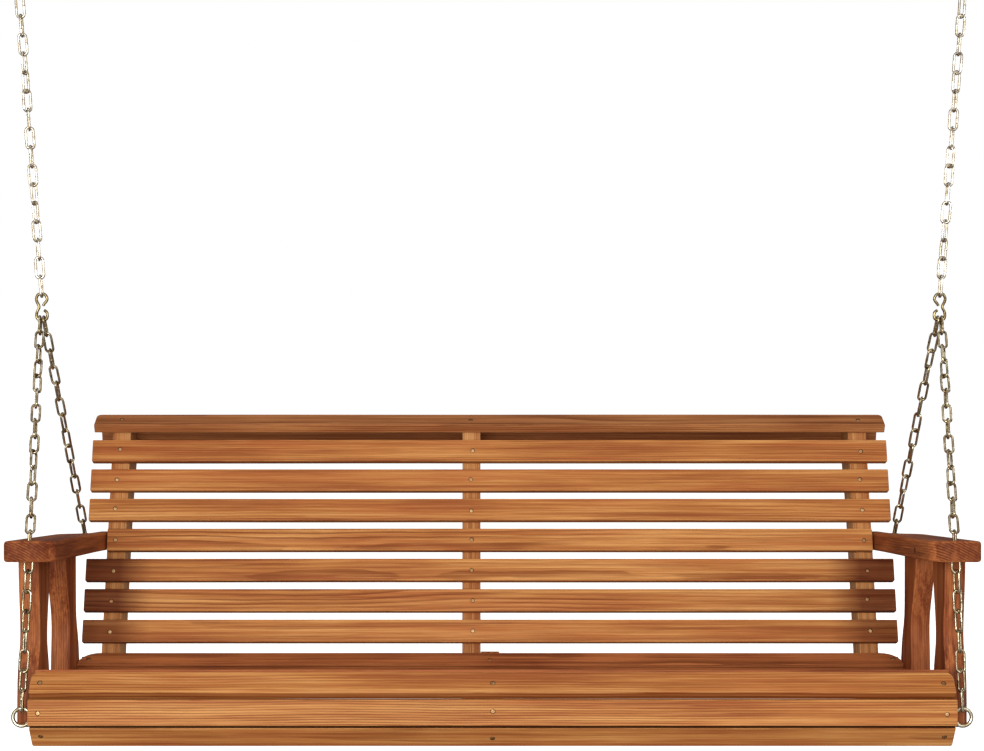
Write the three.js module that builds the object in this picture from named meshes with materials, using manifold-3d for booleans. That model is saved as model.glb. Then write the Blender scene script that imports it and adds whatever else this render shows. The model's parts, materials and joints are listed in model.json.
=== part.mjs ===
// Roll-back porch swing: a slatted pine bench hung from a ceiling on welded-link chains. On each side one
// upper chain carries a figure-of-eight junction, from which a front and a rear chain run to the bench.
// Millimetres, +X to the sitter's left (right when seen from in front), +Y towards the back, +Z up.
// The origin is on the ceiling plane, midway between the two ceiling hangers.
import * as THREE from 'three';
import * as BufferGeometryUtils from 'three/addons/utils/BufferGeometryUtils.js';
import Module from 'manifold-3d';

const wasm = await Module();
wasm.setup();

// ---------------------------------------------------------------- driving dimensions
const FIT = 0.3; // gap left between pieces that touch
const BOARD = 38; // thickness of arms, posts and supports
const SLAT_LENGTH = 1676;
const SLAT_WIDTH = 47;
const SLAT_THICKNESS = 19;
const SLAT_CORNER = 2; // corner radius of a slat as it comes from the mill
const SEAT_GAP = 17; // between seat slats
const BACK_GAP = 17.4; // between back slats
const BACK_RECLINE = 15.9; // degrees from upright, in the bench's own frame

// Bench frame: y from the front face of the middle front slat, z from near the underside.
const SEAT_LEAN = 5; // degrees that the hanging bench leans back
const HANG_Y = 334.5; // bench-frame depth of the two chain junctions
const HANG_Z = 797; // bench-frame height of the wire that the seat chains hang on
const HANG_X = 885; // half the distance between the chain junctions
const HANG_OFFSET = 3.6; // the front chain hangs this far outside a junction's middle, the rear chain inside
const SEAT_SIDE_X = 819; // middle of a seat side support
const BACK_SIDE_X = SEAT_SIDE_X - BOARD - FIT;
const BACK_CENTRE_X = -BOARD - FIT; // beside the middle seat support
const POST_X = SEAT_SIDE_X + BOARD + FIT;

// Slats in profile: the outer corner where each starts, and the direction of its width in degrees.
const NOSE_BOTTOM = { start: [41.6, -4.7], angle: 129, nearCorner: 4 };
const NOSE_MIDDLE = { start: [0, 38], angle: 90 };
const NOSE_TOP = { start: [8.3, 96.6], angle: 48, farCorner: 15 };
const SEAT_START = [61, 133.5];
const SEAT_ANGLES = [-14, -17, -12, -5, 4, 14, 26]; // dish of the seat, front to rear
const SEAT_REAR_CORNER = 40; // rounding of the last seat slat's far corners
const BACK_START = [487.3, 147.9];
const BACK_ANGLE = 90 - BACK_RECLINE;
const BACK_SLATS = 7;
const SHORT_SLAT = 4; // counted from the top, cut short between the arms
const SHORT_LENGTH = 1594;
const CREST_FRONT = { start: [615.2, 596.7], angle: 30, farCorner: 10 };
const CREST_TOP = { start: [670, 619], angle: -2 };
const CREST_REAR = { start: [722, 593], angle: -74 };

// A seat support in profile behind its last slat, where the middle one stands higher, and along its underside.
const MIDDLE_TAIL = [[490, 118], [500, 127.5], [541, 120], [566, 88]];
const SIDE_TAIL = [[490, 118], [500, 114], [541, 104], [566, 80]];
const SUPPORT_UNDER = [[566, 46], [545, 22], [70, -3]];
// A back support's leg: its depth, its length below the slats, and its rear edge up to the rolled head.
const BACK_LEG = { depth: 72, below: 135, neck: 403, bend: 473, ease: 14 };

const ARM = {
  top: 371,
  front: -10,
  rear: 630,
  inner: 789,
  outer: 879,
  innerRound: 35, // radius of the front's inner corner
  outerRound: 7,
  tail: { inner: 800, innerFrom: 470, outer: 828, outerFrom: 512, round: 8 },
  curve: { from: 418, first: 470, second: 455 }, // the outer edge's draw-in to the tail
};
const CHAIN_HOLE = { x: 842, y: 42, radius: 13.5 };

// Posts in profile, each place [y, z]: the lower corners are eased, and each edge is drawn in at its waist.
const POST_FOOT = 24;
const POST_EASE = [6, 8];
const POST_STRAIGHT = 74; // the edges run straight up to here
const FRONT_POST = { bottom: [86, 190], waist: [[110, 195], [170, 190]], top: [96, 194] };
const REAR_POST = { bottom: [372, 470], waist: [[378, 188], [436, 230]], top: [334, 434] };

const LOOSE = 0.8; // gap between a link and the wire that it hangs on
const WIRE = 5; // chain wire
const LINK_PITCH = 36.2; // inside length of a link
const LINK_WIDTH = 20;
const HOOK_WIRE = 5.8; // chain junction wire
const HOOK_HEIGHT = 56;
const HOOK_WIDTH = 27;
const EYE_WIRE = 7;
const SHANK = EYE_WIRE / 2;
const EYE_RADIUS = 16; // of an eye's centre line
const FRONT_EYE = { x: 858.5, y: 47, z: 48 };
const REAR_EYE = { x: 848.5, y: 585, z: 352 };
const LAP_BOLT = { y: 519, z: 60, radius: 4 };
const PROUD = 0.5; // gap between the wood and a nut or bolt head
const NUT = { corner: 7.5, height: 8, thin: 6, washer: 11, washerThickness: 1.6 };
const BOLT_TAIL = 12; // from the wood to the end of an eye bolt
const DOME = [[0, 0], [9, 0], [8, 2.6], [4.5, 4.4], [0, 5]]; // carriage bolt head, [radius, height]
const CHAIN_BEND_Z = 386; // where the front chain turns down into the arm's hole
const UPPER_LINKS = 17;
const UPPER_SPREAD = 3.2; // degrees that each upper chain leans outwards
const LINKS = { frontUpper: 14, frontLower: 9, rear: 14 };

const PLATE = { length: 110, width: 38, thickness: 6, corner: 8, hole: 41 };
const NECK_RADIUS = 7; // of the boss between a hanger's plate and its eye
const EYE_DROP = 33; // from the ceiling to the centre line of a hanger's eye
const LAG = { radius: 4, head: 7.5, headHeight: 5.5, length: 60, point: 8 };
const OVERLAP = 1; // depth to which the parts of one solid run into each other

// ---------------------------------------------------------------- materials
function material(color, roughness, metalness) {
  return new THREE.MeshStandardMaterial({ color, roughness, metalness });
}
const PINE = material(0xc07a45, 0.5, 0);
const PINE_RED = material(0x8e4c2c, 0.5, 0);
const BRASSY_STEEL = material(0x9c8458, 0.35, 1);
const ZINC = material(0xb9b4a6, 0.35, 1);

// ---------------------------------------------------------------- solids
const radians = THREE.MathUtils.degToRad;

/** A closed three.js geometry as a manifold solid. */
function solid(geometry) {
  const bare = new THREE.BufferGeometry();
  bare.setAttribute('position', geometry.getAttribute('position').clone());
  if (geometry.index) bare.setIndex(geometry.index.clone());
  const merged = BufferGeometryUtils.mergeVertices(bare, 1e-4);
  return new wasm.Manifold(new wasm.Mesh({
    numProp: 3,
    vertProperties: new Float32Array(merged.getAttribute('position').array),
    triVerts: new Uint32Array(merged.index.array),
  }));
}

/** A manifold solid as a three.js geometry. */
function geometryOf(manifold) {
  const mesh = manifold.getMesh();
  const geometry = new THREE.BufferGeometry();
  geometry.setAttribute('position', new THREE.BufferAttribute(new Float32Array(mesh.vertProperties), 3));
  geometry.setIndex(new THREE.BufferAttribute(new Uint32Array(mesh.triVerts), 1));
  geometry.computeVertexNormals();
  return geometry;
}

function piece(parent, name, shape, look) {
  const geometry = shape.isBufferGeometry ? shape : geometryOf(shape);
  const mesh = new THREE.Mesh(geometry, look);
  mesh.name = name;
  parent.add(mesh);
}

/** An extruded outline, its plane the YZ plane, from x = low to x = high. */
function profileBoard(outline, low, high, curveSegments = 6) {
  const geometry = new THREE.ExtrudeGeometry(outline, {
    depth: high - low, bevelEnabled: false, curveSegments,
  });
  // (outline x, outline y, depth) becomes (y, z, x)
  const axes = new THREE.Matrix4().makeBasis(
    new THREE.Vector3(0, 1, 0), new THREE.Vector3(0, 0, 1), new THREE.Vector3(1, 0, 0));
  geometry.applyMatrix4(axes);
  geometry.translate(low, 0, 0);
  return geometry;
}

/** A round bar along X. */
function barX(x0, x1, y, z, radius, sides = 12) {
  const geometry = new THREE.CylinderGeometry(radius, radius, x1 - x0, sides);
  geometry.rotateZ(-Math.PI / 2);
  geometry.translate((x0 + x1) / 2, y, z);
  return geometry;
}

/** A round bar along Z. */
function barZ(z0, z1, x, y, radius, sides = 16) {
  const geometry = new THREE.CylinderGeometry(radius, radius, z1 - z0, sides);
  geometry.rotateX(Math.PI / 2);
  geometry.translate(x, y, (z0 + z1) / 2);
  return geometry;
}

// ---------------------------------------------------------------- boards
/**
 * Where a slat lies, seen from the side: start is its first outer corner, angle the direction of its
 * width from +Y towards +Z, and its thickness goes inwards, to the right of that direction.
 */
function slatPlace(start, angle) {
  const along = new THREE.Vector2(Math.cos(radians(angle)), Math.sin(radians(angle)));
  const inward = new THREE.Vector2(along.y, -along.x);
  const outerStart = new THREE.Vector2(...start);
  const outerEnd = outerStart.clone().addScaledVector(along, SLAT_WIDTH);
  const innerStart = outerStart.clone().addScaledVector(inward, SLAT_THICKNESS + FIT);
  const innerEnd = outerEnd.clone().addScaledVector(inward, SLAT_THICKNESS + FIT);
  return { angle, along, inward, outerStart, outerEnd, innerStart, innerEnd };
}

/** A run of slats, each one gap further round the curve than the one before. */
function slatRun(start, angles, gap) {
  const places = [slatPlace(start, angles[0])];
  for (let i = 1; i < angles.length; i++) {
    const before = places[i - 1].outerEnd;
    const turn = radians((angles[i - 1] + angles[i]) / 2);
    places.push(slatPlace([before.x + gap * Math.cos(turn), before.y + gap * Math.sin(turn)], angles[i]));
  }
  return places;
}

/** A rectangle from the middle of its near edge, with its own radius at the two near and two far corners. */
function roundedRectangle(length, width, near, far) {
  const half = length / 2;
  const quarter = Math.PI / 2;
  const outline = new THREE.Shape();
  outline.moveTo(-half + near, 0);
  outline.lineTo(half - near, 0);
  outline.absarc(half - near, near, near, -quarter, 0, false);
  outline.lineTo(half, width - far);
  outline.absarc(half - far, width - far, far, 0, quarter, false);
  outline.lineTo(-half + far, width);
  outline.absarc(-half + far, width - far, far, quarter, 2 * quarter, false);
  outline.lineTo(-half, near);
  outline.absarc(-half + near, near, near, 2 * quarter, 3 * quarter, false);
  return outline;
}

/** A slat's solid, its far corners at the end of its width. */
function slat(place, length, { nearCorner = SLAT_CORNER, farCorner = SLAT_CORNER } = {}) {
  const outline = roundedRectangle(length, SLAT_WIDTH, nearCorner, farCorner);
  const plain = Math.max(nearCorner, farCorner) === SLAT_CORNER;
  const geometry = new THREE.ExtrudeGeometry(outline, {
    depth: SLAT_THICKNESS, bevelEnabled: false, curveSegments: plain ? 1 : 3,
  });
  geometry.translate(0, 0, -SLAT_THICKNESS);
  const { along, inward, outerStart } = place;
  geometry.applyMatrix4(new THREE.Matrix4().makeBasis(
    new THREE.Vector3(1, 0, 0),
    new THREE.Vector3(0, along.x, along.y),
    new THREE.Vector3(0, -inward.x, -inward.y)));
  geometry.translate(0, outerStart.x, outerStart.y);
  return geometry;
}

/** Where the lines of two slats' inner faces cross. */
function corner(first, second) {
  const cross = first.along.x * second.along.y - first.along.y * second.along.x;
  const gap = second.innerStart.clone().sub(first.innerStart);
  const reach = (gap.x * second.along.y - gap.y * second.along.x) / cross;
  return first.innerStart.clone().addScaledVector(first.along, reach);
}

const [noseBottom, noseMiddle, noseTop, crestFront, crestTop, crestRear] = [
  NOSE_BOTTOM, NOSE_MIDDLE, NOSE_TOP, CREST_FRONT, CREST_TOP, CREST_REAR,
].map(({ start, angle }) => slatPlace(start, angle));
const seatSlats = slatRun(SEAT_START, SEAT_ANGLES, SEAT_GAP);
const backSlats = slatRun(BACK_START, Array(BACK_SLATS).fill(BACK_ANGLE), BACK_GAP);

function outlineFrom(points) {
  const outline = new THREE.Shape();
  outline.moveTo(points[0].x, points[0].y);
  points.slice(1).forEach((point) => outline.lineTo(point.x, point.y));
  return outline;
}

/** A seat support: its top edge carries the seat slats, and its nose the three front slats. */
function seatSupportOutline(tail) {
  const points = [noseBottom.innerStart, corner(noseBottom, noseMiddle)];
  points.push(corner(noseMiddle, noseTop), noseTop.innerEnd);
  seatSlats.forEach((place) => points.push(place.innerStart, place.innerEnd));
  const rest = tail.concat(SUPPORT_UNDER).map((place) => new THREE.Vector2(...place));
  return outlineFrom(points.concat(rest));
}

/** A back support: a straight leg that reclines, with a rounded head for the crest slats. */
function backSupportOutline() {
  const lowest = backSlats[0];
  const up = lowest.along;
  const back = new THREE.Vector2(up.y, -up.x);
  const foot = lowest.innerStart.clone().addScaledVector(up, -BACK_LEG.below);
  const rearFoot = foot.clone().addScaledVector(back, BACK_LEG.depth);
  const points = [foot, corner(backSlats[BACK_SLATS - 1], crestFront)];
  points.push(corner(crestFront, crestTop), corner(crestTop, crestRear), crestRear.innerEnd);
  const outline = outlineFrom(points);
  const neck = rearFoot.clone().addScaledVector(up, BACK_LEG.neck);
  const bend = rearFoot.clone().addScaledVector(up, BACK_LEG.bend);
  const heel = rearFoot.clone().addScaledVector(up, BACK_LEG.ease);
  const toe = rearFoot.clone().addScaledVector(back, -BACK_LEG.ease);
  outline.quadraticCurveTo(bend.x, bend.y, neck.x, neck.y);
  outline.lineTo(heel.x, heel.y);
  outline.lineTo(toe.x, toe.y);
  return outline;
}

// ---------------------------------------------------------------- bench woodwork
const bench = new THREE.Group();
const sides = [['left', -1], ['right', 1]];

/** The X range of a board whose middle is at x, as [low, high]. */
function across(x, thickness = BOARD) {
  return [x - thickness / 2, x + thickness / 2];
}

/** A support at x with holes along X for the shanks of what is bolted to it, each [place, shank radius]. */
function support(outline, x, holes) {
  const [low, high] = across(x);
  let shape = solid(profileBoard(outline, low, high));
  holes.forEach(([place, radius]) => {
    const way = barX(low - OVERLAP, high + OVERLAP, place.y, place.z, radius + 2 * FIT);
    shape = shape.subtract(solid(way));
  });
  return shape;
}

const lapHole = [LAP_BOLT, LAP_BOLT.radius];
piece(bench, 'seat_support_centre', support(seatSupportOutline(MIDDLE_TAIL), 0, [lapHole]), PINE_RED);
piece(bench, 'back_support_centre', support(backSupportOutline(), BACK_CENTRE_X, [lapHole]), PINE);
sides.forEach(([side, sign]) => {
  const seatHoles = [lapHole, [FRONT_EYE, SHANK]];
  const seat = support(seatSupportOutline(SIDE_TAIL), sign * SEAT_SIDE_X, seatHoles);
  const back = support(backSupportOutline(), sign * BACK_SIDE_X, [lapHole, [REAR_EYE, SHANK]]);
  piece(bench, `seat_support_${side}`, seat, PINE_RED);
  piece(bench, `back_support_${side}`, back, PINE);
});

piece(bench, 'front_slat_bottom', slat(noseBottom, SLAT_LENGTH, NOSE_BOTTOM), PINE);
piece(bench, 'front_slat_middle', slat(noseMiddle, SLAT_LENGTH), PINE);
piece(bench, 'front_slat_top', slat(noseTop, SLAT_LENGTH, NOSE_TOP), PINE);
seatSlats.forEach((place, i) => {
  const last = i === seatSlats.length - 1;
  const corners = last ? { farCorner: SEAT_REAR_CORNER } : {};
  piece(bench, `seat_slat_${i + 1}`, slat(place, SLAT_LENGTH, corners), PINE_RED);
});
backSlats.forEach((place, i) => {
  const number = BACK_SLATS - i;
  const length = number === SHORT_SLAT ? SHORT_LENGTH : SLAT_LENGTH;
  piece(bench, `back_slat_${number}`, slat(place, length), PINE);
});
piece(bench, 'crest_slat_front', slat(crestFront, SLAT_LENGTH, CREST_FRONT), PINE_RED);
piece(bench, 'crest_slat_top', slat(crestTop, SLAT_LENGTH), PINE_RED);
piece(bench, 'crest_slat_rear', slat(crestRear, SLAT_LENGTH), PINE_RED);

/** A shape made for the right side, or its mirror image for the left. */
function mirrored(shape, sign) {
  return sign > 0 ? shape : shape.mirror([1, 0, 0]);
}

/** The right arm: a flat board with a rounded front, drawn in to a narrow tail beside the back support. */
function arm() {
  const { front, rear, inner, outer, innerRound, outerRound, tail, curve } = ARM;
  const quarter = Math.PI / 2;
  const outline = new THREE.Shape();
  outline.moveTo(inner + innerRound, front);
  outline.lineTo(outer - outerRound, front);
  outline.absarc(outer - outerRound, front + outerRound, outerRound, -quarter, 0, false);
  outline.lineTo(outer, curve.from);
  outline.bezierCurveTo(outer, curve.first, tail.outer, curve.second, tail.outer, tail.outerFrom);
  outline.lineTo(tail.outer, rear - tail.round);
  outline.absarc(tail.outer - tail.round, rear - tail.round, tail.round, 0, quarter, false);
  outline.lineTo(tail.inner, rear);
  outline.lineTo(tail.inner, tail.innerFrom);
  outline.lineTo(inner, front + innerRound);
  outline.absarc(inner + innerRound, front + innerRound, innerRound, 2 * quarter, 3 * quarter, false);
  const geometry = new THREE.ExtrudeGeometry(outline, {
    depth: BOARD, bevelEnabled: false, curveSegments: 5,
  });
  const bottom = ARM.top - BOARD;
  geometry.translate(0, 0, bottom);
  const hole = barZ(bottom - OVERLAP, ARM.top + OVERLAP, CHAIN_HOLE.x, CHAIN_HOLE.y, CHAIN_HOLE.radius);
  const boltWay = barX(inner, outer, REAR_EYE.y, REAR_EYE.z, SHANK + 2 * FIT);
  return solid(geometry).subtract(solid(hole)).subtract(solid(boltWay));
}

/** A post between the seat's side and the arm, waisted when seen from the side. */
function postOutline({ bottom, waist, top }) {
  const head = ARM.top - BOARD - FIT;
  const [easeY, easeZ] = POST_EASE;
  const [[frontY, frontZ], [rearY, rearZ]] = waist;
  const below = (z) => THREE.MathUtils.lerp(POST_STRAIGHT, z, 0.65);
  const above = (z, share) => THREE.MathUtils.lerp(z, head, share);
  const outline = new THREE.Shape();
  outline.moveTo(bottom[0] + easeY, POST_FOOT);
  outline.lineTo(bottom[1] - easeY, POST_FOOT);
  outline.lineTo(bottom[1], POST_FOOT + easeZ);
  outline.lineTo(bottom[1], POST_STRAIGHT);
  outline.bezierCurveTo(bottom[1], below(rearZ), rearY, below(rearZ), rearY, rearZ);
  outline.bezierCurveTo(rearY, above(rearZ, 0.3), top[1], above(rearZ, 0.6), top[1], head);
  outline.lineTo(top[0], head);
  outline.bezierCurveTo(top[0], above(frontZ, 0.6), frontY, above(frontZ, 0.3), frontY, frontZ);
  outline.bezierCurveTo(frontY, below(frontZ), bottom[0], below(frontZ), bottom[0], POST_STRAIGHT);
  outline.lineTo(bottom[0], POST_FOOT + easeZ);
  outline.closePath();
  return outline;
}

sides.forEach(([side, sign]) => {
  piece(bench, `arm_${side}`, mirrored(arm(), sign), PINE_RED);
  const [low, high] = across(sign * POST_X);
  piece(bench, `front_post_${side}`, profileBoard(postOutline(FRONT_POST), low, high), PINE_RED);
  piece(bench, `rear_post_${side}`, profileBoard(postOutline(REAR_POST), low, high), PINE_RED);
});

// ---------------------------------------------------------------- bench hardware
/** The right side's eye bolt: a bent ring, turned by tilt, on a shank along X that ends at x = inner. */
function eyeBolt(eye, tilt, inner) {
  const ring = new THREE.TorusGeometry(EYE_RADIUS, SHANK, 6, 18);
  ring.rotateX(Math.PI / 2 + tilt);
  ring.translate(eye.x, eye.y, eye.z);
  const shank = barX(inner, eye.x - EYE_RADIUS, eye.y, eye.z, SHANK, 10);
  return solid(ring).add(solid(shank));
}

/** The right side's hexagon nut, inside the wood's face at x = face, with a round washer against it. */
function nut(face, place) {
  const low = face - NUT.height;
  const washer = barX(face - NUT.washerThickness, face, place.y, place.z, NUT.washer, 16);
  const hexagon = barX(low, face, place.y, place.z, NUT.corner, 6);
  const way = barX(low - OVERLAP, face + OVERLAP, place.y, place.z, SHANK + FIT);
  return solid(washer).add(solid(hexagon)).subtract(solid(way));
}

/** A carriage bolt from its domed head at x = head to the nut against the face at x = face. */
function lapBolt(head, face) {
  const dome = new THREE.LatheGeometry(DOME.map(([r, h]) => new THREE.Vector2(r, h)), 14);
  dome.rotateZ(-Math.PI / 2);
  dome.translate(head, LAP_BOLT.y, LAP_BOLT.z);
  const low = face - NUT.thin;
  const shank = barX(low - OVERLAP, head + OVERLAP, LAP_BOLT.y, LAP_BOLT.z, LAP_BOLT.radius);
  const hexagon = barX(low, face, LAP_BOLT.y, LAP_BOLT.z, NUT.corner, 6);
  return solid(dome).add(solid(shank)).add(solid(hexagon));
}

const halfBoard = BOARD / 2;
const pull = Math.atan2(HANG_Y - REAR_EYE.y, HANG_Z - REAR_EYE.z); // the rear chain's slope from upright
const seatFace = SEAT_SIDE_X - halfBoard - PROUD;
const backFace = BACK_SIDE_X - halfBoard - PROUD;
const hardware = {
  front_eye_bolt: eyeBolt(FRONT_EYE, 0, seatFace - BOLT_TAIL),
  front_eye_nut: nut(seatFace, FRONT_EYE),
  rear_eye_bolt: eyeBolt(REAR_EYE, pull, backFace - BOLT_TAIL),
  rear_eye_nut: nut(backFace, REAR_EYE),
  lap_bolt: lapBolt(SEAT_SIDE_X + halfBoard + PROUD, backFace),
};
Object.entries(hardware).forEach(([name, shape]) => {
  sides.forEach(([side, sign]) => piece(bench, `${name}_${side}`, mirrored(shape, sign), ZINC));
});
piece(bench, 'lap_bolt_centre', lapBolt(halfBoard + PROUD, BACK_CENTRE_X - halfBoard - PROUD), ZINC);

// ---------------------------------------------------------------- chains
const BEND_SEGMENTS = 4; // facets round each half-circle end of a link
const WIRE_SIDES = 5;
const LINK_CLEARANCE = 0.15;

/** One welded link, its length along Z and its flat in the YZ plane. */
function linkGeometry(pitch) {
  const radius = (LINK_WIDTH - WIRE) / 2;
  const geometry = new THREE.TorusGeometry(radius, WIRE / 2, WIRE_SIDES, 2 * BEND_SEGMENTS);
  geometry.rotateZ(Math.PI / (2 * BEND_SEGMENTS));
  // the facets at the middle of a bend lie inside the true arc and the true round of the wire
  const facet = Math.cos(Math.PI / (2 * BEND_SEGMENTS));
  const wireReach = (WIRE / 2) * Math.cos(Math.PI / WIRE_SIDES) * facet;
  const stretch = pitch / 2 + wireReach - LINK_CLEARANCE - radius * facet;
  const position = geometry.getAttribute('position');
  for (let i = 0; i < position.count; i++) {
    const y = position.getY(i);
    position.setY(i, y + Math.sign(y) * stretch);
  }
  const axes = new THREE.Matrix4().makeBasis(
    new THREE.Vector3(0, 1, 0), new THREE.Vector3(0, 0, 1), new THREE.Vector3(1, 0, 0));
  geometry.applyMatrix4(axes);
  return geometry;
}

/**
 * A taut strand of links from top to bottom, as one solid. topWire and bottomWire are the radii of what
 * it hangs on and holds, 0 where another strand goes on from it, and turns is its whole twist in
 * quarter turns.
 */
function strand(top, bottom, count, topWire, bottomWire, turns) {
  const along = bottom.clone().sub(top);
  const reach = along.length();
  along.normalize();
  const pitch = (reach + topWire + bottomWire + 2 * LOOSE) / count;
  const link = linkGeometry(pitch);
  const down = new THREE.Vector3(0, 0, -1);
  const swing = new THREE.Quaternion().setFromUnitVectors(down, along);
  let shape = null;
  for (let i = 0; i < count; i++) {
    const twist = new THREE.Quaternion().setFromAxisAngle(down, ((turns * i) / (count - 1)) * Math.PI / 2);
    const start = pitch * (i + 0.5) - topWire - LOOSE;
    const place = new THREE.Matrix4().compose(
      top.clone().addScaledVector(along, start), swing.clone().multiply(twist), new THREE.Vector3(1, 1, 1));
    const one = solid(link.clone().applyMatrix4(place));
    shape = shape ? shape.add(one) : one;
  }
  return shape;
}

const junctionFront = new THREE.Vector3(HANG_X + HANG_OFFSET, HANG_Y, HANG_Z);
const junctionRear = new THREE.Vector3(HANG_X - HANG_OFFSET, HANG_Y, HANG_Z);
const bend = new THREE.Vector3(CHAIN_HOLE.x, CHAIN_HOLE.y, CHAIN_BEND_Z);
const frontEyeTop = new THREE.Vector3(FRONT_EYE.x, FRONT_EYE.y, FRONT_EYE.z + EYE_RADIUS);
const rearEyeTop = new THREE.Vector3(
  REAR_EYE.x,
  REAR_EYE.y + EYE_RADIUS * Math.sin(pull),
  REAR_EYE.z + EYE_RADIUS * Math.cos(pull));
const hookRadius = HOOK_WIRE / 2;
const strands = {
  front_chain_upper: strand(junctionFront, bend, LINKS.frontUpper, hookRadius, 0, LINKS.frontUpper - 1),
  front_chain_lower: strand(bend, frontEyeTop, LINKS.frontLower, 0, SHANK, LINKS.frontLower - 1),
  rear_chain: strand(junctionRear, rearEyeTop, LINKS.rear, hookRadius, SHANK, LINKS.rear - 2),
};
Object.entries(strands).forEach(([name, shape]) => {
  sides.forEach(([side, sign]) => piece(bench, `${name}_${side}`, mirrored(shape, sign), BRASSY_STEEL));
});

// ---------------------------------------------------------------- upper chains and ceiling hangers
// A junction's centre line, from one end of its wire to the other: the share of its half width, inner side
// first, and of its height. The wire runs over the top, in at the waist and back under the bottom.
const JUNCTION_LINE = [
  [-0.23, 0.53], [-0.4, 0.6], [-0.86, 0.72], [-1, 0.83], [-0.62, 0.975], [0, 1], [0.62, 0.975], [1, 0.83],
  [0.86, 0.68], [0.5, 0.5], [0.86, 0.32], [1, 0.2], [0.93, 0.07], [0.6, 0], [-0.6, 0], [-0.93, 0.07],
  [-1, 0.2], [-0.86, 0.29], [-0.4, 0.37],
];

/**
 * A chain junction: round wire bent to a figure of eight, open at its waist, hanging in the XZ plane.
 * Its own origin is the centre of its lower wire.
 */
function junction() {
  const half = (HOOK_WIDTH - HOOK_WIRE) / 2;
  const high = HOOK_HEIGHT - HOOK_WIRE;
  const points = JUNCTION_LINE.map(([x, z]) => new THREE.Vector3(x * half, 0, z * high));
  const section = new THREE.Shape();
  section.absarc(0, 0, hookRadius, 0, 2 * Math.PI, false);
  return new THREE.ExtrudeGeometry(section, {
    extrudePath: new THREE.CatmullRomCurve3(points), steps: 26, curveSegments: 4,
  });
}

/** A ceiling hanger: a bolted plate with a round eye welded under it. */
function hanger(x) {
  const outline = roundedRectangle(PLATE.length, PLATE.width, PLATE.corner, PLATE.corner);
  const plate = new THREE.ExtrudeGeometry(outline, {
    depth: PLATE.thickness, bevelEnabled: false, curveSegments: 3,
  });
  plate.translate(x, -PLATE.width / 2, -PLATE.thickness);
  let shape = solid(plate);
  [-1, 1].forEach((end) => {
    const hole = barZ(-PLATE.thickness - OVERLAP, OVERLAP, x + end * PLATE.hole, 0, LAG.radius + 2 * FIT, 12);
    shape = shape.subtract(solid(hole));
  });
  const ring = new THREE.TorusGeometry(EYE_RADIUS, SHANK, 6, 18);
  ring.rotateX(Math.PI / 2);
  ring.translate(x, 0, -EYE_DROP);
  const ringTop = -EYE_DROP + EYE_RADIUS - SHANK;
  const neck = barZ(ringTop + OVERLAP, OVERLAP - PLATE.thickness, x, 0, NECK_RADIUS, 12);
  return shape.add(solid(neck)).add(solid(ring));
}

/** A lag screw: hexagon head under the plate, shank up into the joist, with a pointed end. */
function lagScrew() {
  const under = -PLATE.thickness - FIT;
  const profile = [
    [0, under - OVERLAP], [LAG.radius, under - OVERLAP], [LAG.radius, LAG.length - LAG.point], [0, LAG.length],
  ];
  const shank = new THREE.LatheGeometry(profile.map(([r, z]) => new THREE.Vector2(r, z)), 12);
  shank.rotateX(Math.PI / 2);
  const head = barZ(under - LAG.headHeight, under, 0, 0, LAG.head, 6);
  return solid(shank).add(solid(head));
}

const hangZ = -EYE_DROP - EYE_RADIUS; // the hinge line through both eyes' lower wires
const upperReach = UPPER_LINKS * LINK_PITCH - SHANK - hookRadius - 2 * LOOSE;
const spread = radians(UPPER_SPREAD);
const hookTopZ = hangZ - upperReach * Math.cos(spread);
const hangerX = HANG_X + upperReach * Math.sin(spread);
const lowerWireZ = hookTopZ - (HOOK_HEIGHT - HOOK_WIRE);
const upperTop = new THREE.Vector3(hangerX, 0, hangZ);
const upperBottom = new THREE.Vector3(HANG_X, 0, hookTopZ);
const upperChain = strand(upperTop, upperBottom, UPPER_LINKS, SHANK, hookRadius, UPPER_LINKS - 1);

const group = new THREE.Group();
sides.forEach(([side, sign]) => {
  piece(group, `upper_chain_${side}`, mirrored(upperChain, sign), BRASSY_STEEL);
  const hook = junction();
  hook.translate(HANG_X, 0, lowerWireZ);
  piece(group, `chain_junction_${side}`, mirrored(solid(hook), sign), BRASSY_STEEL);
  piece(group, `ceiling_hanger_${side}`, hanger(sign * hangerX), ZINC);
  [['inner', -1], ['outer', 1]].forEach(([end, direction]) => {
    const screw = lagScrew().translate([sign * hangerX + sign * direction * PLATE.hole, 0, 0]);
    piece(group, `lag_screw_${side}_${end}`, screw, ZINC);
  });
});

// The bench leans back about the line through the two junctions' lower wires.
bench.rotation.x = -radians(SEAT_LEAN);
bench.position.set(0, 0, lowerWireZ).sub(
  new THREE.Vector3(0, HANG_Y, HANG_Z).applyEuler(bench.rotation));
group.add(bench);

export default group;
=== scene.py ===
"""Looks of a roll-back porch swing: stained pine boards, welded chain and zinc-plated hardware."""
import json
import math
import random

import bmesh
import bpy
from mathutils import Matrix, Quaternion, Vector, noise


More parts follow.
